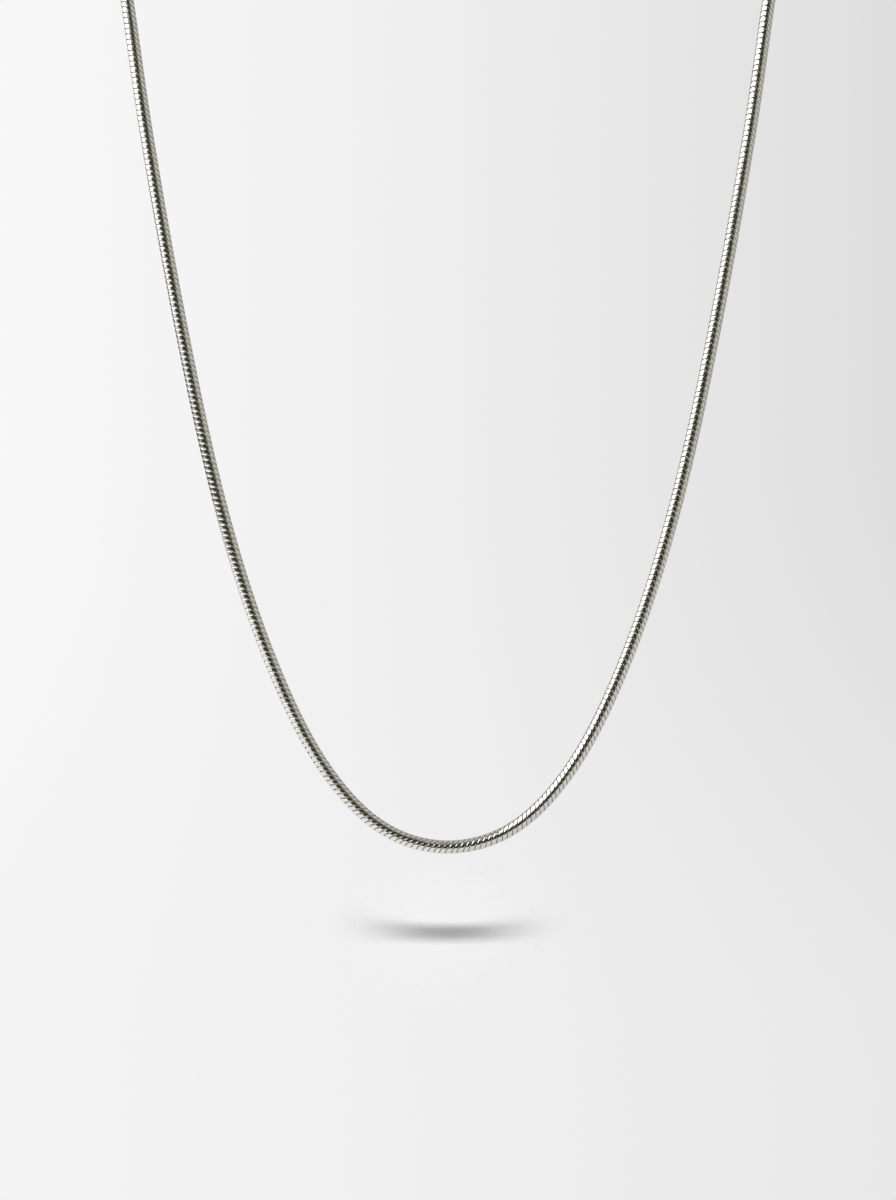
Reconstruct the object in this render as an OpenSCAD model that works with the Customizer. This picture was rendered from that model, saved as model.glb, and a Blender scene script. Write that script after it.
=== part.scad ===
// A round snake chain necklace that hangs as it is worn, in millimetres.
// The origin is the middle of the clasp at the nape, with +Z up and the front of the loop towards -Y.

/* [Loop] */
// Width of the loop round the neck, between the chain's centres
loop_w = 111; // [90:1:140]
// Depth of the loop from the clasp forward to its lowest point
loop_depth = 110; // [90:1:140]
// Drop from the clasp to the lowest point
loop_drop = 168; // [120:1:240]

/* [Chain] */
// Diameter of the chain
chain_d = 2.0; // [1.4:0.1:3.0]
// Flat sides that stand for the round outline of the chain
chain_sides = 8; // [6:1:12]
// Rings between one chosen point of the route and the next
rings_per_span = 3; // [2:1:3]

/* [Clasp] */
// Length of the barrel clasp
clasp_len = 14; // [12:1:18]
// Wall of the clasp around each chain end
clasp_wall = 0.6; // [0.4:0.1:1.2]
// Depth of the socket that holds each chain end
socket_depth = 3; // [2:0.5:4]
// Gap between a chain end and its socket, both round it and past its end
fit_gap = 0.1; // [0.05:0.05:0.3]
// Length of the raised collar at each end
collar_len = 2; // [1:0.5:3]
// Height of each collar above the barrel
collar_rise = 0.4; // [0.2:0.1:0.8]
// Width of the groove where the two halves of the barrel meet
groove_w = 0.4; // [0.2:0.1:0.8]
// Depth of that groove
groove_depth = 0.2; // [0.1:0.1:0.4]
// Chamfer on the outer edges of the collars
edge_cut = 0.2; // [0.1:0.05:0.2]

/* [Hidden] */
$fn = 64;

// Chosen points of the route, as x, y and z on the right side, from the bottom of the loop to the nape.
// They are stretched to the loop's named width, depth and drop.
route_points = [
    [0, -110, -168],
    [8.5, -109.5, -166],
    [16, -108, -160],
    [23, -105.5, -149.5],
    [30, -102, -133],
    [36, -97.5, -113],
    [41.5, -91.5, -88],
    [46.5, -84, -61],
    [50.5, -75, -36],
    [55, -61, -18],
    [55.5, -40, -10],
    [45, -18, -5],
    [26, -4, -1],
];
// A direction that no stretch of the route runs along, which keeps the rings from turning over
ring_guide = [0, -1, 1];

socket_d = chain_d + 2 * fit_gap;
barrel_d = socket_d + 2 * clasp_wall;
collar_d = barrel_d + 2 * collar_rise;
mouth = [clasp_len / 2, 0, 0];
chain_end = mouth - [socket_depth - fit_gap, 0, 0];

function unit(v) = v / norm(v);
function left_of(p) = [-p.x, p.y, p.z];

// The neighbour of an end point that makes the curve meet that end straight along X
function beyond(end, near) = [2 * end.x - near.x, near.y, near.z];

// Weights of four neighbouring points, a share t of the way from the second to the third
function weights(t) = 0.5 * [
    -t + 2 * t ^ 2 - t ^ 3,
    2 - 5 * t ^ 2 + 3 * t ^ 3,
    t + 4 * t ^ 2 - 3 * t ^ 3,
    -t ^ 2 + t ^ 3,
];

// How fast those weights change, which gives the direction of the curve
function weight_rates(t) = 0.5 * [
    -1 + 4 * t - 3 * t ^ 2,
    -10 * t + 9 * t ^ 2,
    1 + 8 * t - 9 * t ^ 2,
    -2 * t + 3 * t ^ 2,
];

// Reach of the chosen points to the side, forward and down, and their stretch to the named sizes
reach = [
    2 * max([for (p = route_points) p.x]),
    max([for (p = route_points) -p.y]),
    max([for (p = route_points) -p.z]),
];
stretch = [loop_w / reach.x, loop_depth / reach.y, loop_drop / reach.z];
function stretched(p) = [p.x * stretch.x, p.y * stretch.y, p.z * stretch.z];

// The whole route from the left mouth of the clasp, down round the bottom and up to the right mouth
right_half = concat([for (p = route_points) stretched(p)], [mouth]);
last = len(right_half) - 1;
route = concat([for (i = [last:-1:1]) left_of(right_half[i])], right_half);
spans = len(route) - 1;
guides = concat([beyond(route[0], route[1])], route, [beyond(route[spans], route[spans - 1])]);

function four_from(i) = [guides[i], guides[i + 1], guides[i + 2], guides[i + 3]];

// Middle and direction of every ring, with a straight piece inside each socket
stations = concat(
    [[left_of(chain_end), [-1, 0, 0]]],
    [for (i = [0:spans - 1], k = [0:rings_per_span - 1])
        let (t = k / rings_per_span)
        [weights(t) * four_from(i), unit(weight_rates(t) * four_from(i))]],
    [[mouth, [-1, 0, 0]], [chain_end, [-1, 0, 0]]]
);

// Corners of the ring at one station
function ring(station) =
    let (
        across = unit(cross(ring_guide, station[1])),
        along_guide = cross(station[1], across)
    )
    [for (j = [0:chain_sides - 1])
        station[0] + chain_d / 2
            * (cos(360 * j / chain_sides) * across + sin(360 * j / chain_sides) * along_guide)];

// A closed tube through a list of rings that have the same number of corners
module tube(rings) {
    n = len(rings[0]);
    m = len(rings);
    walls = [for (i = [0:m - 2], j = [0:n - 1])
        let (
            a = i * n + j,
            b = i * n + (j + 1) % n
        )
        each [[a, b + n, b], [a, a + n, b + n]]];
    polyhedron(
        points = [for (r = rings) each r],
        faces = concat(
            [[for (j = [0:n - 1]) j]],
            walls,
            [[for (j = [n - 1:-1:0]) (m - 1) * n + j]]
        )
    );
}

module snake_chain() {
    color([0.72, 0.72, 0.70])
        tube([for (s = stations) ring(s)]);
}

// Half of the clasp's outline, from the groove in its middle to the floor of a socket, as
// [place along the barrel, radius]
clasp_half = [
    [groove_w / 2, barrel_d / 2 - groove_depth],
    [groove_w / 2, barrel_d / 2],
    [mouth.x - collar_len, barrel_d / 2],
    [mouth.x - collar_len, collar_d / 2 - edge_cut],
    [mouth.x - collar_len + edge_cut, collar_d / 2],
    [mouth.x - edge_cut, collar_d / 2],
    [mouth.x, collar_d / 2 - edge_cut],
    [mouth.x, socket_d / 2],
    [mouth.x - socket_depth, socket_d / 2],
    [mouth.x - socket_depth, 0],
];
clasp_outline = concat(
    [for (i = [len(clasp_half) - 1:-1:0]) [-clasp_half[i].x, clasp_half[i].y]],
    clasp_half
);

module barrel_clasp() {
    color([0.78, 0.78, 0.76])
        rotate([0, 90, 0])
            rotate_extrude()
                polygon([for (p = clasp_outline) [p.y, p.x]]);
}

snake_chain();
barrel_clasp();
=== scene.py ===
"""Dresses the snake chain necklace: its links, its clasp and a plain studio, around the fixed frame."""

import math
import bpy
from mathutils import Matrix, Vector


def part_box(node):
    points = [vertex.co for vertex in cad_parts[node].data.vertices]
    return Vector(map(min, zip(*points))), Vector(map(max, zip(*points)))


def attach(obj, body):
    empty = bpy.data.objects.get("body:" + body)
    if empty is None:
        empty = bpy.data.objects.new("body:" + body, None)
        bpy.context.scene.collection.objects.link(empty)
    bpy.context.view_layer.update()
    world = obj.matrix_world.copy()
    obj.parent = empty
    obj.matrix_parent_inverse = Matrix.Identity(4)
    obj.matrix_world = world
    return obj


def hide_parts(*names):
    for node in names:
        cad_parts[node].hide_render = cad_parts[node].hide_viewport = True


bl_info = {
    "name": "Snake Chain Necklace",
    "version": (1, 0, 0),
    "blender": (4, 5, 0),
    "location": "3D View > Sidebar > Necklace",
    "description": "Builds a round snake chain necklace with its barrel clasp and a plain studio",
    "category": "Add Mesh",
}

import bpy
import numpy as np
from bpy.props import FloatProperty, FloatVectorProperty, IntProperty, PointerProperty
from mathutils import Vector

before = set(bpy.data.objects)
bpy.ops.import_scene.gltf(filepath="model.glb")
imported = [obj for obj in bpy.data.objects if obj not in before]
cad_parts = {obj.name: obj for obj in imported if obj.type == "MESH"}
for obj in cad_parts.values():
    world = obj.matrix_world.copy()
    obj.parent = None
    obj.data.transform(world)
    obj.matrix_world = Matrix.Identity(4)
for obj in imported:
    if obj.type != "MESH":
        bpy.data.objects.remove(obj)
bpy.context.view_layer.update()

MM = 0.001

# Chosen points of the chain's route on the right side, in millimetres, from the bottom to the nape
ROUTE_POINTS = [
    (0, -110, -168),
    (8.5, -109.5, -166),
    (16, -108, -160),
    (23, -105.5, -149.5),
    (30, -102, -133),
    (36, -97.5, -113),
    (41.5, -91.5, -88),
    (46.5, -84, -61),
    (50.5, -75, -36),
    (55, -61, -18),
    (55.5, -40, -10),
    (45, -18, -5),
    (26, -4, -1),
]
LOWEST_POINT = Vector(ROUTE_POINTS[0]) * MM

CLASP_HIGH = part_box("barrel_clasp")[1]
MOUTH_X = CLASP_HIGH.x
COLLAR_RADIUS = CLASP_HIGH.z

# The photograph in pixels: its columns, its rows and the row where the chain's centre is lowest
PHOTO_COLUMNS = 896
PHOTO_ROWS = 1200
LOWEST_ROW = 847

# How far each chain end goes into its socket, and the steps of its curve between two route points
CHAIN_END = 2.0 * MM
ROUTE_STEPS = 24
# The recess attribute is 1 in the middle of a hollow, 0 on a crown, and this at the bend between them
BEND_RECESS = 0.5
# Seed of the random play of the links
LINK_SEED = 5
# Two links share the vertices that meet within this distance
MERGE_DISTANCE = 0.01 * MM
# Steeper edges than these stay sharp
CHAIN_SHARP_ANGLE = math.radians(36)
CLASP_SHARP_ANGLE = math.radians(40)

# The same attribute in the clasp's groove and sockets, where it paints shade into them
CLASP_RECESS = 0.6
# The clasp's edges that turn by more than this angle are rounded, in so many steps
ROUNDED_ANGLE = math.radians(30)
ROUNDING_STEPS = 2

# The silver's finish: faint clouds in its colour, a fine grain in its polish, and its dark lines of
# painted shade where two links meet
CLOUD_SCALE = 90.0
CLOUD_DETAIL = 3.0
CLOUD_SHARE = 0.4
CLOUD_SHADE = 0.93
GRAIN_SCALE = 4000.0
GRAIN_DETAIL = 2.0
GRAIN_STRENGTH = 0.04
GRAIN_DEPTH = 0.02 * MM
GRAIN_ROUGHNESS = 0.06
GAP_ROUGHNESS = 0.2
GAP_SOFTNESS = 0.03

# The sockets of a Mix node that hold its colours and their mixture
MIX_FIRST = 6
MIX_SECOND = 7
MIX_RESULT = 2

FLOOR_SIDES = 96
# The camera's sensor in millimetres, and the nearest and farthest that it sees in metres
SENSOR_WIDTH = 36.0
CLIP_START = 0.05
CLIP_END = 20.0


class ChainSettings(bpy.types.PropertyGroup):
    """Sizes of the snake chain, colours of the silver and of the shade painted into its hollows"""
    diameter: FloatProperty(
        name="Diameter", description="Diameter of the chain over the crowns of its links",
        default=2.06 * MM, unit="LENGTH")
    pitch: FloatProperty(
        name="Pitch", description="Distance from one link to the next",
        default=0.855 * MM, unit="LENGTH")
    sides: IntProperty(
        name="Sides", description="Faces round one link", default=14, min=8, max=24)
    crown_width: FloatProperty(
        name="Crown width", description="Width of the flat, bright middle of each link",
        default=0.5 * MM, unit="LENGTH")
    valley_width: FloatProperty(
        name="Valley width", description="Width of the sloping hollow between two links",
        default=0.33 * MM, unit="LENGTH")
    valley_depth: FloatProperty(
        name="Valley depth", description="Depth of that hollow in its middle",
        default=0.07 * MM, unit="LENGTH")
    gap_width: FloatProperty(
        name="Gap width", description="Width of the dark line where two links meet",
        default=0.111 * MM, unit="LENGTH")
    lean: FloatProperty(
        name="Lean", description="Greatest angle of the seams from square across the chain",
        default=math.radians(38), subtype="ANGLE")
    facing: FloatProperty(
        name="Front", description="Angle round the straight chain that faces forward on its route",
        default=math.radians(84), subtype="ANGLE")
    turn_left: FloatProperty(
        name="Turn on the left", default=math.radians(20), subtype="ANGLE",
        description="Place of the greatest lean on the left arm, from the front towards the inside")
    turn_right: FloatProperty(
        name="Turn on the right", default=math.radians(-60), subtype="ANGLE",
        description="Place of the greatest lean on the right arm, from the front towards the inside")
    turning: FloatProperty(
        name="Turning length", description="Length of chain past the lowest point over which it turns",
        default=50 * MM, unit="LENGTH")
    play: FloatProperty(
        name="Play", description="How far a link's edge strays from its even place",
        default=0.02 * MM, unit="LENGTH")
    rise: FloatProperty(
        name="Rise", description="How far a link's skin strays outwards",
        default=0.006 * MM, unit="LENGTH")
    silver: FloatVectorProperty(
        name="Silver", description="Colour of the polished metal",
        default=(0.92, 0.912, 0.875), subtype="COLOR")
    # Painted shade: the metal is painted duller and darker towards the hollows, where shade falls
    hollow_shade: FloatVectorProperty(
        name="Hollow_shade", description="Colour of the duller metal towards the hollows",
        default=(0.702, 0.694, 0.65), subtype="COLOR")
    # Painted shade: the dark line where two links meet is painted in where the crevice lies in shade
    gap: FloatVectorProperty(
        name="Gap", description="Colour of the dark line where two links meet",
        default=(0.047, 0.043, 0.033), subtype="COLOR")
    roughness: FloatProperty(
        name="Roughness", description="Mean roughness of the polish", default=0.11, subtype="FACTOR")


class ClaspSettings(bpy.types.PropertyGroup):
    """Sizes of the barrel clasp"""
    sides: IntProperty(
        name="Sides", description="Faces round the barrel", default=64, min=24, max=96)
    socket_diameter: FloatProperty(
        name="Socket diameter", description="Inner diameter of the socket for each chain end",
        default=2.2 * MM, unit="LENGTH")
    socket_depth: FloatProperty(
        name="Socket depth", description="Depth of each socket",
        default=3.0 * MM, unit="LENGTH")
    wall: FloatProperty(
        name="Wall", description="Wall of the barrel around each chain end",
        default=0.6 * MM, unit="LENGTH")
    collar_length: FloatProperty(
        name="Collar length", description="Length of the raised collar at each end",
        default=2.0 * MM, unit="LENGTH")
    groove_width: FloatProperty(
        name="Groove width", description="Width of the groove where the two halves meet",
        default=0.4 * MM, unit="LENGTH")
    groove_depth: FloatProperty(
        name="Groove depth", description="Depth of that groove",
        default=0.2 * MM, unit="LENGTH")
    edge_cut: FloatProperty(
        name="Edge cut", description="Chamfer on the outer edges of the collars",
        default=0.2 * MM, unit="LENGTH")
    edge_radius: FloatProperty(
        name="Edge radius", description="Rounding of the turned edges",
        default=0.05 * MM, unit="LENGTH")


class StudioSettings(bpy.types.PropertyGroup):
    """Sizes and places of the floor, the lamp and the camera"""
    distance: FloatProperty(
        name="Camera distance", description="From the camera to the hanging front of the loop",
        default=1.5, unit="LENGTH")
    elevation: FloatProperty(
        name="Camera elevation", description="How far the camera looks down",
        default=math.radians(12), subtype="ANGLE")
    picture_height: FloatProperty(
        name="Picture height", description="Height of the picture at the hanging front of the loop",
        default=184.6 * MM, unit="LENGTH")
    floor_gap: FloatProperty(
        name="Floor gap", description="From the chain's lowest centre down to the floor",
        default=13.6 * MM, unit="LENGTH")
    lamp_height: FloatProperty(
        name="Lamp height", description="Height of the overhead lamp above the floor",
        default=3.0, unit="LENGTH")
    lamp_width: FloatProperty(
        name="Lamp width", description="Width of that lamp", default=1.8, unit="LENGTH")
    lamp_depth: FloatProperty(
        name="Lamp depth", description="Depth of that lamp", default=0.75, unit="LENGTH")
    lamp_aside: FloatProperty(
        name="Lamp aside", description="How far that lamp stands to the right",
        default=-0.10, unit="LENGTH")
    lamp_power: FloatProperty(
        name="Lamp power", description="Power of the overhead lamp", default=110.5, unit="POWER")
    floor_radius: FloatProperty(
        name="Floor radius", description="Radius of the piece of floor below the loop",
        default=0.25, unit="LENGTH")
    floor_rise: FloatProperty(
        name="Floor rise", description="How steeply the floor rises towards the back, like a paper sweep",
        default=math.radians(24), subtype="ANGLE")
    shadow_width: FloatProperty(
        name="Shadow width", description="Width of the patch of floor that catches the shadow",
        default=39.0 * MM, unit="LENGTH")
    shadow_depth: FloatProperty(
        name="Shadow depth", description="Depth of that patch, from front to back",
        default=42.0 * MM, unit="LENGTH")


class Value:
    """One output of a node tree, for writing shader maths as expressions."""

    def __init__(self, shader, socket):
        self.shader = shader
        self.socket = socket

    def __add__(self, other):
        return self.shader.maths("ADD", self, other)

    def __sub__(self, other):
        return self.shader.maths("SUBTRACT", self, other)

    def __rsub__(self, other):
        return self.shader.maths("SUBTRACT", other, self)

    def __mul__(self, other):
        return self.shader.maths("MULTIPLY", self, other)

    __radd__ = __add__
    __rmul__ = __mul__


class Shader:
    """Adds nodes to the tree of one material or world."""

    def __init__(self, owner):
        owner.use_nodes = True
        self.tree = owner.node_tree
        self.tree.nodes.clear()

    def add(self, kind, settings=None, sockets=None, out=0):
        """A new node, with its settings first and then the values or links of its sockets."""
        node = self.tree.nodes.new(kind)
        for name, value in (settings or {}).items():
            if name == "stops":
                self.set_stops(node.color_ramp, value)
            else:
                setattr(node, name, value)
        for key, value in (sockets or {}).items():
            if isinstance(value, Value):
                self.tree.links.new(value.socket, node.inputs[key])
            else:
                node.inputs[key].default_value = value
        return Value(self, node.outputs[out]) if len(node.outputs) else node

    @staticmethod
    def set_stops(ramp, stops):
        while len(ramp.elements) < len(stops):
            ramp.elements.new(1.0)
        for element, (place, colour) in zip(ramp.elements, stops):
            element.position = place
            element.color = (*colour, 1.0)

    def maths(self, operation, *values):
        return self.add("ShaderNodeMath", {"operation": operation}, dict(enumerate(values)))

    def ramp(self, value, start, end):
        """Goes evenly from 0 at start to 1 at end."""
        return self.add(
            "ShaderNodeMapRange", None, {"Value": value, "From Min": start, "From Max": end})

    def step(self, value, start, end):
        """0 before start and 1 after end, with a soft edge between them."""
        return self.add(
            "ShaderNodeMapRange", {"interpolation_type": "SMOOTHSTEP"},
            {"Value": value, "From Min": start, "From Max": end})

    def between(self, value, low_edge, high_edge):
        """1 from the end of the low edge to the start of the high one, each given as two places."""
        return self.step(value, *low_edge) * (1 - self.step(value, *high_edge))

    def mix(self, share, first, second):
        """A colour that goes from first to second as share goes from 0 to 1."""
        return self.add(
            "ShaderNodeMix", {"data_type": "RGBA"},
            {0: share, MIX_FIRST: self.colour(first), MIX_SECOND: self.colour(second)},
            out=MIX_RESULT)

    @staticmethod
    def colour(value):
        return value if isinstance(value, Value) else (*value, 1.0)

    def split(self, vector):
        node = self.add("ShaderNodeSeparateXYZ", None, {"Vector": vector}).socket.node
        return [Value(self, output) for output in node.outputs]


def polished_silver(name, chain, gap_share):
    """Bright silver with faint polishing marks, with painted shade that makes it duller and darker as the
    recess attribute rises to 1, and a painted dark line of shade in its last share, where two links meet."""
    material = bpy.data.materials.new(name)
    shader = Shader(material)
    place = shader.add("ShaderNodeTexCoord", out="Object")
    recess = shader.add("ShaderNodeAttribute", {"attribute_name": "recess"}, out="Fac")
    cloud = shader.add(
        "ShaderNodeTexNoise", None,
        {"Vector": place, "Scale": CLOUD_SCALE, "Detail": CLOUD_DETAIL})
    grain = shader.add(
        "ShaderNodeTexNoise", None,
        {"Vector": place, "Scale": GRAIN_SCALE, "Detail": GRAIN_DETAIL})
    clouded = [CLOUD_SHADE * part for part in chain.silver]
    bright = shader.mix(CLOUD_SHARE * cloud, chain.silver, clouded)
    # Painted shade: the silver grows darker towards the hollows as the recess attribute rises
    shaded_silver = shader.mix(shader.step(recess, 0.0, 1.0), bright, chain.hollow_shade)
    # Painted shade: a dark line in the last share of the recess, where two links meet
    gap_start = 1 - gap_share
    gap = shader.step(recess, gap_start - GAP_SOFTNESS, gap_start + GAP_SOFTNESS)
    bump = shader.add(
        "ShaderNodeBump", None,
        {"Strength": GRAIN_STRENGTH, "Distance": GRAIN_DEPTH, "Height": grain})
    roughness = chain.roughness - GRAIN_ROUGHNESS / 2 + GRAIN_ROUGHNESS * grain
    surface = shader.add("ShaderNodeBsdfPrincipled", None, {
        "Base Color": shader.mix(gap, shaded_silver, chain.gap),
        "Metallic": 1.0,
        "Roughness": roughness + GAP_ROUGHNESS * gap,
        "Normal": bump,
    })
    shader.add("ShaderNodeOutputMaterial", None, {"Surface": surface})
    return material


def deselect_all():
    if bpy.context.object and bpy.context.object.mode != "OBJECT":
        bpy.ops.object.mode_set(mode="OBJECT")
    bpy.ops.object.select_all(action="DESELECT")


def make_active(obj):
    deselect_all()
    obj.select_set(True)
    bpy.context.view_layer.objects.active = obj


def apply_modifiers(obj):
    make_active(obj)
    for modifier in list(obj.modifiers):
        bpy.ops.object.modifier_apply(modifier=modifier.name)


def turned(name, rows, sides, capped):
    """A surface turned about Z, drawn from a circle that is extruded and scaled row by row.

    rows holds (place, radius) pairs, and a capped one is closed at its first and last rows."""
    deselect_all()
    place, radius = rows[0]
    bpy.ops.mesh.primitive_circle_add(
        vertices=sides, radius=radius, fill_type="NGON" if capped else "NOTHING",
        location=(0, 0, place))
    obj = bpy.context.object
    obj.name = obj.data.name = name
    bpy.ops.object.transform_apply(location=True, rotation=False, scale=False)
    bpy.ops.object.mode_set(mode="EDIT")
    bpy.ops.mesh.select_mode(type="VERT")
    bpy.ops.mesh.select_all(action="SELECT")
    for next_place, next_radius in rows[1:]:
        bpy.ops.mesh.extrude_region_move(
            TRANSFORM_OT_translate={"value": (0, 0, next_place - place)})
        scale = next_radius / radius
        bpy.ops.transform.resize(value=(scale, scale, 1), center_override=(0, 0, next_place))
        place, radius = next_place, next_radius
    bpy.ops.object.mode_set(mode="OBJECT")
    return obj


def close_and_turn_outwards(obj):
    """Fills the open ends and makes every face point outwards."""
    make_active(obj)
    bpy.ops.object.mode_set(mode="EDIT")
    bpy.ops.mesh.select_mode(type="EDGE")
    bpy.ops.mesh.select_all(action="DESELECT")
    bpy.ops.mesh.select_non_manifold(
        extend=False, use_wire=False, use_boundary=True, use_multi_face=False,
        use_non_contiguous=False, use_verts=False)
    bpy.ops.mesh.fill_holes(sides=0)
    bpy.ops.mesh.select_all(action="SELECT")
    bpy.ops.mesh.normals_make_consistent(inside=False)
    bpy.ops.object.mode_set(mode="OBJECT")


def shade(obj, sharp_angle):
    """Smooth shading up to an angle, with the widest faces left flat."""
    make_active(obj)
    bpy.ops.object.shade_smooth_by_angle(angle=sharp_angle)
    weighted = obj.modifiers.new("flat_faces", "WEIGHTED_NORMAL")
    weighted.keep_sharp = True
    apply_modifiers(obj)


def set_recess(obj, values):
    """Stores how deep each vertex lies in a recess, from 0 to 1."""
    recess = obj.data.attributes.new("recess", "FLOAT", "POINT")
    recess.data.foreach_set("value", values)


def route_points():
    """The whole route from the left mouth of the clasp round the bottom to the right mouth."""
    right = [Vector(point) * MM for point in ROUTE_POINTS] + [Vector((MOUTH_X, 0, 0))]
    left = [Vector((-point.x, point.y, point.z)) for point in right[:0:-1]]
    return left + right


def route_curve():
    """The chain's centre line as a curve, with a straight end inside each socket of the clasp."""
    points = route_points()
    curve = bpy.data.curves.new("chain_route", "CURVE")
    curve.dimensions = "3D"
    curve.resolution_u = ROUTE_STEPS
    curve.twist_mode = "MINIMUM"
    spline = curve.splines.new("BEZIER")
    spline.bezier_points.add(len(points) + 1)
    inside = Vector((CHAIN_END, 0, 0))
    centres = [points[0] + inside] + points + [points[-1] - inside]
    # Each handle is about a third of the way to the next knot long, and lies along the line between
    # the two knots beside its own
    for i, (knot, centre) in enumerate(zip(spline.bezier_points, centres)):
        if 1 < i < len(centres) - 2:
            reach = (centres[i + 1] - centres[i - 1]) / 6
        else:
            reach = -inside / 3
        knot.co = centre
        knot.handle_left_type = knot.handle_right_type = "FREE"
        knot.handle_left = centre - reach
        knot.handle_right = centre + reach
    # The chain leaves both mouths of the clasp straight
    start = Vector(((points[1] - points[0]).x / 3, 0, 0))
    end = Vector(((points[-1] - points[-2]).x / 3, 0, 0))
    spline.bezier_points[1].handle_right = points[0] + start
    spline.bezier_points[-2].handle_left = points[-1] - end
    route = bpy.data.objects.new("chain_route", curve)
    bpy.context.collection.objects.link(route)
    return route


def straight_link(chain, pitch):
    """One link's skin, from the middle of one hollow to the middle of the next."""
    crown = chain.diameter / 2
    seam = crown - chain.valley_depth
    shoulder = (pitch - chain.crown_width) / 2
    bend = chain.valley_width / 2
    rows = [(0.0, seam), (bend, crown), (shoulder, crown), (pitch - shoulder, crown),
            (pitch - bend, crown), (pitch, seam)]
    link = turned("snake_chain_links", rows, chain.sides, capped=False)
    recesses = [1.0, BEND_RECESS, 0.0, 0.0, BEND_RECESS, 1.0]
    set_recess(link, np.repeat(recesses, chain.sides))
    return link


def lean_links(skin, chain, pitch, count):
    """Swings each seam forward as it goes round, and gives every link a little play."""
    swing = math.tan(chain.lean) * chain.diameter / 2
    middle = count * pitch / 2
    random = np.random.default_rng(LINK_SEED)
    stray = random.normal(0, chain.play, (count + 2, 2))
    rise = random.normal(0, chain.rise, (count + 2, 2))

    corners = np.empty(len(skin.data.vertices) * 3)
    skin.data.vertices.foreach_get("co", corners)
    x, y, z = corners.reshape(-1, 3).T
    # A vertex on a seam belongs to the link above it, also where rounding puts it a little lower
    place = z / pitch
    link = np.floor(place + MERGE_DISTANCE / pitch).astype(int)
    share = place - link
    angle = np.arctan2(y, x)
    radius = np.hypot(x, y)

    past = np.clip((z - middle) / chain.turning, 0, 1)
    turn = chain.turn_left + (chain.turn_right - chain.turn_left) * past ** 2 * (3 - 2 * past)
    z = z + swing * np.sin(chain.facing - angle - turn)
    strays = stray[link] * (1 - share)[:, None] + stray[link + 1] * share[:, None]
    z = z + strays[:, 0] * np.cos(angle) + strays[:, 1] * np.sin(angle)
    radius = radius + rise[link, 0] * np.sin(np.pi * share) + rise[link, 1] * np.sin(2 * np.pi * share)
    moved = np.stack([radius * np.cos(angle), radius * np.sin(angle), z], axis=1)
    skin.data.vertices.foreach_set("co", moved.ravel())


class NECKLACE_OT_add_chain(bpy.types.Operator):
    """Builds all the links of the snake chain along its route"""
    bl_idname = "necklace.add_chain"
    bl_label = "Add snake chain"

    def execute(self, context):
        chain = context.scene.snake_chain
        route = route_curve()
        length = route.data.splines[0].calc_length()
        count = round(length / chain.pitch)
        pitch = length / count
        links = straight_link(chain, pitch)
        make_active(links)
        array = links.modifiers.new("repeat", "ARRAY")
        array.count = count
        array.use_relative_offset = False
        array.use_constant_offset = True
        array.constant_offset_displace = (0, 0, pitch)
        array.use_merge_vertices = True
        array.merge_threshold = MERGE_DISTANCE
        apply_modifiers(links)
        lean_links(links, chain, pitch, count)
        along = links.modifiers.new("along", "CURVE")
        along.object = route
        along.deform_axis = "POS_Z"
        apply_modifiers(links)
        bpy.data.objects.remove(route)
        close_and_turn_outwards(links)
        shade(links, CHAIN_SHARP_ANGLE)
        gap_share = (1 - BEND_RECESS) * chain.gap_width / chain.valley_width
        links.data.materials.append(polished_silver("chain_silver", chain, gap_share))
        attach(links, "root")
        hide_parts("snake_chain")
        return {"FINISHED"}


class NECKLACE_OT_add_clasp(bpy.types.Operator):
    """Builds the barrel clasp round the two ends of the chain"""
    bl_idname = "necklace.add_clasp"
    bl_label = "Add barrel clasp"

    def execute(self, context):
        chain = context.scene.snake_chain
        clasp = context.scene.barrel_clasp
        socket = clasp.socket_diameter / 2
        barrel = socket + clasp.wall
        groove = clasp.groove_width / 2
        groove_radius = barrel - clasp.groove_depth
        collar = MOUTH_X - clasp.collar_length
        half = [
            (groove, groove_radius),
            (groove, barrel),
            (collar, barrel),
            (collar, COLLAR_RADIUS - clasp.edge_cut),
            (collar + clasp.edge_cut, COLLAR_RADIUS),
            (MOUTH_X - clasp.edge_cut, COLLAR_RADIUS),
            (MOUTH_X, COLLAR_RADIUS - clasp.edge_cut),
            (MOUTH_X, socket),
            (MOUTH_X - clasp.socket_depth, socket),
        ]
        rows = [(-place, radius) for place, radius in reversed(half)] + half
        barrel_clasp = turned("barrel_clasp_body", rows, clasp.sides, capped=True)
        # The groove and sockets get painted shade through the recess attribute
        recesses = []
        for vertex in barrel_clasp.data.vertices:
            radius = math.hypot(vertex.co.x, vertex.co.y)
            in_groove = abs(vertex.co.z) < clasp.groove_width and radius < (groove_radius + barrel) / 2
            in_socket = radius < (socket + groove_radius) / 2
            recesses.append(CLASP_RECESS if in_groove or in_socket else 0.0)
        set_recess(barrel_clasp, recesses)
        make_active(barrel_clasp)
        bpy.ops.object.mode_set(mode="EDIT")
        bpy.ops.mesh.select_all(action="SELECT")
        bpy.ops.transform.rotate(
            value=math.pi / 2, orient_axis="Y", center_override=(0, 0, 0))
        bpy.ops.object.mode_set(mode="OBJECT")
        bevel = barrel_clasp.modifiers.new("soft_edges", "BEVEL")
        bevel.width = clasp.edge_radius
        bevel.segments = ROUNDING_STEPS
        bevel.limit_method = "ANGLE"
        bevel.angle_limit = ROUNDED_ANGLE
        apply_modifiers(barrel_clasp)
        close_and_turn_outwards(barrel_clasp)
        shade(barrel_clasp, CLASP_SHARP_ANGLE)
        barrel_clasp.data.materials.append(polished_silver("clasp_silver", chain, gap_share=0.0))
        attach(barrel_clasp, "root")
        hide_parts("barrel_clasp")
        return {"FINISHED"}


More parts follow.
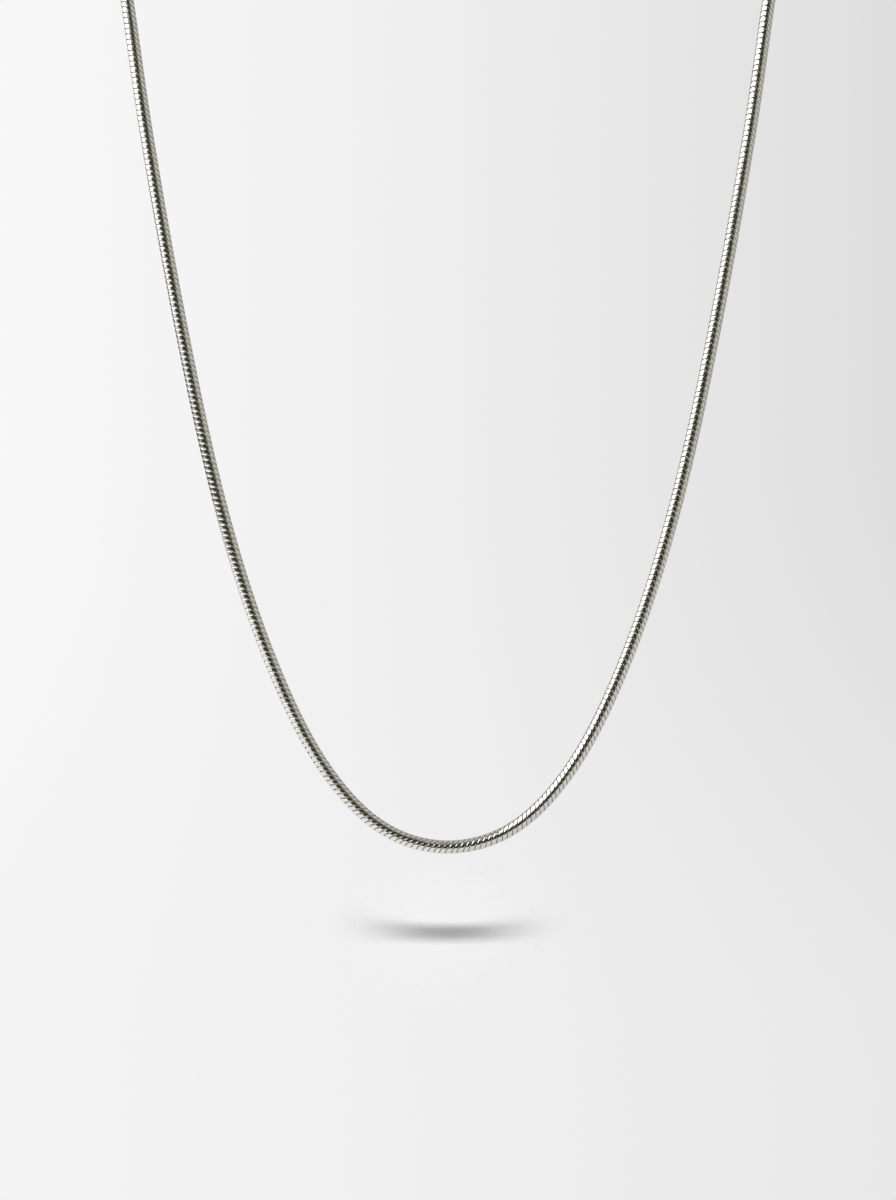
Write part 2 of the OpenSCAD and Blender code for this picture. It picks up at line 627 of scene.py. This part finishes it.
class NECKLACE_OT_set_stage(bpy.types.Operator):
    """Lays the floor, hangs the lights and sets the camera"""
    bl_idname = "necklace.set_stage"
    bl_label = "Set the stage"

    def execute(self, context):
        studio = context.scene.studio
        add_floor(studio)
        add_lamp(studio)
        add_surroundings(studio)
        add_camera(studio)
        context.scene.view_settings.view_transform = "Standard"
        return {"FINISHED"}


# Brightness of the picture's background from its left edge to its right edge
BACKDROP_STOPS = (
    (0.0, (0.935, 0.935, 0.935)),
    (0.45, (0.862, 0.862, 0.862)),
    (1.0, (0.735, 0.735, 0.735)),
)
# Seen from the other sides the background is plain. It turns so as the view points this far sideways.
BACKDROP_ELSEWHERE = (0.862, 0.862, 0.862)
BACKDROP_TURN = (0.06, 0.35)
# Low in the picture the background is evener: there each place takes the brightness of one that is
# only this share as far from the centre
BACKDROP_CENTRE = 0.4
BACKDROP_LOW_SPREAD = 0.475
# It turns so as the view points this far down, and has turned by this share at the floor
BACKDROP_LOW_EDGE = (-0.256, -0.191)
BACKDROP_LOW_AT_FLOOR = 0.87
# How bright the lamp makes white paper on the floor, and the dim light that fills the shadow
FLOOR_EXPOSURE = 1.10
AMBIENT = (0.032, 0.032, 0.032)

# What the metal sees round it. Edges are in degrees, from where one thing ends to where the next has
# fully begun: round from the camera's side towards the right, or up from level.
DARK_ROOM = (0.043, 0.039, 0.025)
SOFTBOXES = (3.63, 3.63, 3.58)
LOWER_BOX_NEAR_EDGE = (-79, -20.7)
LOWER_BOX_BOTTOM = (-13.2, 1.8)
LOWER_BOX_TOP = (18, 26)
# Below and above this height the lower box's near edge leans away from the camera
LOWER_BOX_MIDDLE = 24.4
LEAN_BELOW = 1.09
LEAN_ABOVE = 0.68
UPPER_BOX_NEAR_EDGE = (-63, -6)
UPPER_BOX_BOTTOM = (22.8, 30.8)
UPPER_BOX_TOP = (53.4, 65.4)

WALL = (0.565, 0.565, 0.512)
WALL_EDGE = (25.2, 68.4)

# A strip between wall and ceiling, whose lower edge climbs towards the right
STRIP_LEFT = (0.10, 0.10, 0.093)
STRIP_RIGHT = (0.89, 0.89, 0.827)
STRIP_TURN = (-10, 25)
STRIP_BOTTOM = (46.1, 54.1)
STRIP_CLIMB = 0.615

CEILING_LEFT = (0.40, 0.40, 0.39)
CEILING_RIGHT = (0.205, 0.205, 0.19)
CEILING_TURN = (-40, 20)
CEILING_EDGE = (65.4, 79.4)

REAR_LEFT = (0.503, 0.507, 0.489)
REAR_LEFT_EDGE = (-116, -96)
REAR_LEFT_BOTTOM = (-11, -3)
REAR_RIGHT = (0.438, 0.438, 0.41)
REAR_RIGHT_EDGE = (74, 98)
# Straight behind the loop both sides meet in one plain light
BEHIND = (0.46, 0.46, 0.44)
BEHIND_FLOOR = (0.70, 0.70, 0.68)
BEHIND_EDGE = (146, 176)

# The pale floor reaches less high towards the sides, and below the camera
FLOOR_LEFT = (0.851, 0.856, 0.841)
FLOOR_RIGHT = (0.60, 0.60, 0.575)
FLOOR_TURN = (-70, 80)
FLOOR_EDGE = (-4.45, -1.4)
FLOOR_FALL_START = 25
FLOOR_FALL = 0.18
FLOOR_FALL_MOST = 15
CAMERA_DIP = 12.8
CAMERA_DIP_EDGE = (6, 22)


def picture_width(studio):
    return studio.picture_height * PHOTO_COLUMNS / PHOTO_ROWS


def place_in_backdrop(across, low):
    """The place in BACKDROP_STOPS for one across the picture; low goes from 0 to 1 at the bottom."""
    spread = 1 - (1 - BACKDROP_LOW_SPREAD) * low
    return BACKDROP_CENTRE + spread * (across - BACKDROP_CENTRE)


def add_floor(studio):
    """A pale floor that catches the soft shadow, is painted darker towards the right as a painted fall of
    light, and fades out into the background.
    """
    deselect_all()
    bpy.ops.mesh.primitive_circle_add(
        vertices=FLOOR_SIDES, radius=studio.floor_radius, fill_type="NGON",
        location=(0, LOWEST_POINT.y, LOWEST_POINT.z - studio.floor_gap),
        rotation=(studio.floor_rise, 0, 0))
    floor = bpy.context.object
    floor.name = "floor"
    bpy.ops.object.transform_apply(location=True, rotation=True)
    floor.visible_glossy = False
    material = bpy.data.materials.new("pale_floor")
    shader = Shader(material)
    place = shader.add("ShaderNodeTexCoord", out="Object")
    x, y = shader.split(place)[:2]
    sideways = x * (2 / studio.shadow_width)
    backwards = (y - LOWEST_POINT.y) * (2 / studio.shadow_depth)
    far = shader.maths("SQRT", sideways * sideways + backwards * backwards)
    reach = picture_width(studio) / 2
    across = shader.ramp(x, -reach, reach)
    # Painted fall of light: the paper is painted darker towards the right, as the background is
    painted_falloff = shader.add(
        "ShaderNodeValToRGB",
        {"stops": [(at, [c / FLOOR_EXPOSURE for c in colour]) for at, colour in BACKDROP_STOPS]},
        {"Fac": place_in_backdrop(across, BACKDROP_LOW_AT_FLOOR)})
    # Thin paper, which is as bright from below as from above
    lit = shader.add("ShaderNodeBsdfDiffuse", None, {"Color": painted_falloff})
    through = shader.add("ShaderNodeBsdfTranslucent", None, {"Color": painted_falloff})
    paper = shader.add("ShaderNodeAddShader", None, {0: lit, 1: through})
    clear = shader.add("ShaderNodeBsdfTransparent")
    surface = shader.add(
        "ShaderNodeMixShader", None, {0: shader.step(far, 0.0, 1.0), 1: paper, 2: clear})
    shader.add("ShaderNodeOutputMaterial", None, {"Surface": surface})
    floor.data.materials.append(material)


def add_lamp(studio):
    """A wide lamp overhead, which draws the soft shadow below the loop."""
    light = bpy.data.lights.new("overhead_lamp", "AREA")
    light.shape = "RECTANGLE"
    light.size = studio.lamp_width
    light.size_y = studio.lamp_depth
    light.energy = studio.lamp_power
    lamp = bpy.data.objects.new("overhead_lamp", light)
    bpy.context.collection.objects.link(lamp)
    floor_height = LOWEST_POINT.z - studio.floor_gap
    lamp.location = (studio.lamp_aside, LOWEST_POINT.y, floor_height + studio.lamp_height)
    lamp.visible_glossy = False


def light_in_metal(shader, x, y, z):
    """What the metal reflects: two wide softboxes on the left, the dark room behind the camera,
    a warm grey wall on the right, a dim ceiling and a pale floor and backdrop."""
    around = shader.maths("DEGREES", shader.maths("ARCTAN2", x, 0 - y))
    height = shader.maths("DEGREES", shader.maths("ARCSINE", z))

    below = shader.maths("MAXIMUM", LOWER_BOX_MIDDLE - height, 0.0)
    over = shader.maths("MAXIMUM", height - LOWER_BOX_MIDDLE, 0.0)
    lower = 1 - shader.step(around + LEAN_BELOW * below + LEAN_ABOVE * over, *LOWER_BOX_NEAR_EDGE)
    lower = lower * shader.between(height, LOWER_BOX_BOTTOM, LOWER_BOX_TOP)
    upper = 1 - shader.step(around, *UPPER_BOX_NEAR_EDGE)
    upper = upper * shader.between(height, UPPER_BOX_BOTTOM, UPPER_BOX_TOP)
    softboxes = shader.maths("MAXIMUM", lower, upper)

    wall = shader.step(around, *WALL_EDGE)
    strip = shader.step(height - STRIP_CLIMB * around, *STRIP_BOTTOM)
    strip_light = shader.mix(shader.step(around, *STRIP_TURN), STRIP_LEFT, STRIP_RIGHT)
    ceiling = shader.step(height, *CEILING_EDGE)
    ceiling_light = shader.mix(shader.step(around, *CEILING_TURN), CEILING_LEFT, CEILING_RIGHT)
    rear_left = (1 - shader.step(around, *REAR_LEFT_EDGE)) * shader.step(height, *REAR_LEFT_BOTTOM)
    rear_right = shader.step(around, *REAR_RIGHT_EDGE)

    aside = shader.maths("ABSOLUTE", around)
    fall = shader.maths("MAXIMUM", FLOOR_FALL * (aside - FLOOR_FALL_START), 0.0)
    fall = shader.maths("MINIMUM", fall, FLOOR_FALL_MOST)
    dip = CAMERA_DIP * (1 - shader.step(aside, *CAMERA_DIP_EDGE))
    floor = 1 - shader.step(height + fall + dip, *FLOOR_EDGE)
    floor_light = shader.mix(shader.step(around, *FLOOR_TURN), FLOOR_LEFT, FLOOR_RIGHT)

    light = shader.mix(wall, DARK_ROOM, WALL)
    for share, colour in (
        (strip, strip_light),
        (ceiling, ceiling_light),
        (softboxes, SOFTBOXES),
        (rear_left, REAR_LEFT),
        (rear_right, REAR_RIGHT),
        (floor, floor_light),
    ):
        light = shader.mix(share, light, colour)
    behind = shader.step(aside, *BEHIND_EDGE)
    return shader.mix(behind, light, shader.mix(floor, BEHIND, BEHIND_FLOOR))


def add_surroundings(studio):
    """The background in the picture, the light in the metal and the little light that fills the shadow."""
    world = bpy.data.worlds.new("studio")
    bpy.context.scene.world = world
    shader = Shader(world)
    direction = shader.add("ShaderNodeTexCoord", out="Generated")
    x, y, z = shader.split(direction)
    reach = picture_width(studio) / 2 / studio.distance
    across = shader.ramp(x, -reach, reach)
    low = 1 - shader.step(z, *BACKDROP_LOW_EDGE)
    backdrop = shader.add(
        "ShaderNodeValToRGB", {"stops": BACKDROP_STOPS}, {"Fac": place_in_backdrop(across, low)})
    elsewhere = shader.step(shader.maths("ABSOLUTE", x), *BACKDROP_TURN)
    backdrop = shader.mix(elsewhere, backdrop, BACKDROP_ELSEWHERE)
    camera_ray = shader.add("ShaderNodeLightPath", out="Is Camera Ray")
    glossy_ray = shader.add("ShaderNodeLightPath", out="Is Glossy Ray")
    colour = shader.mix(glossy_ray, AMBIENT, light_in_metal(shader, x, y, z))
    colour = shader.mix(camera_ray, colour, backdrop)
    surface = shader.add("ShaderNodeBackground", None, {"Color": colour, "Strength": 1.0})
    shader.add("ShaderNodeOutputWorld", None, {"Surface": surface})


def add_camera(studio):
    """The camera at the photograph's angle, framing the hanging front of the loop."""
    data = bpy.data.cameras.new("camera")
    camera = bpy.data.objects.new("camera", data)
    bpy.context.collection.objects.link(camera)
    data.sensor_width = SENSOR_WIDTH
    data.lens = data.sensor_width * studio.distance / studio.picture_height
    sine, cosine = math.sin(studio.elevation), math.cos(studio.elevation)
    forward = Vector((0, cosine, -sine))
    up = Vector((0, sine, cosine))
    target = LOWEST_POINT + up * (LOWEST_ROW / PHOTO_ROWS - 0.5) * studio.picture_height
    camera.location = target - forward * studio.distance
    camera.rotation_euler = (math.pi / 2 - studio.elevation, 0, 0)
    data.clip_start = CLIP_START
    data.clip_end = CLIP_END
    bpy.context.scene.camera = camera


class NECKLACE_PT_panel(bpy.types.Panel):
    """Lists the pieces in the 3D view's sidebar"""
    bl_label = "Snake chain necklace"
    bl_space_type = "VIEW_3D"
    bl_region_type = "UI"
    bl_category = "Necklace"

    def draw(self, context):
        layout = self.layout
        for settings, operator in (
            (context.scene.snake_chain, "necklace.add_chain"),
            (context.scene.barrel_clasp, "necklace.add_clasp"),
            (context.scene.studio, "necklace.set_stage"),
        ):
            box = layout.box()
            for name in settings.__annotations__:
                box.prop(settings, name)
            box.operator(operator)


SETTINGS = {
    "snake_chain": ChainSettings,
    "barrel_clasp": ClaspSettings,
    "studio": StudioSettings,
}
CLASSES = (
    *SETTINGS.values(),
    NECKLACE_OT_add_chain,
    NECKLACE_OT_add_clasp,
    NECKLACE_OT_set_stage,
    NECKLACE_PT_panel,
)


def register():
    for cls in CLASSES:
        bpy.utils.register_class(cls)
    for name, group in SETTINGS.items():
        setattr(bpy.types.Scene, name, PointerProperty(type=group))


def unregister():
    for name in SETTINGS:
        delattr(bpy.types.Scene, name)
    for cls in reversed(CLASSES):
        bpy.utils.unregister_class(cls)


def main():
    register()
    bpy.ops.necklace.set_stage()
    bpy.ops.necklace.add_chain()
    bpy.ops.necklace.add_clasp()
    deselect_all()


if __name__ == "__main__":
    main()
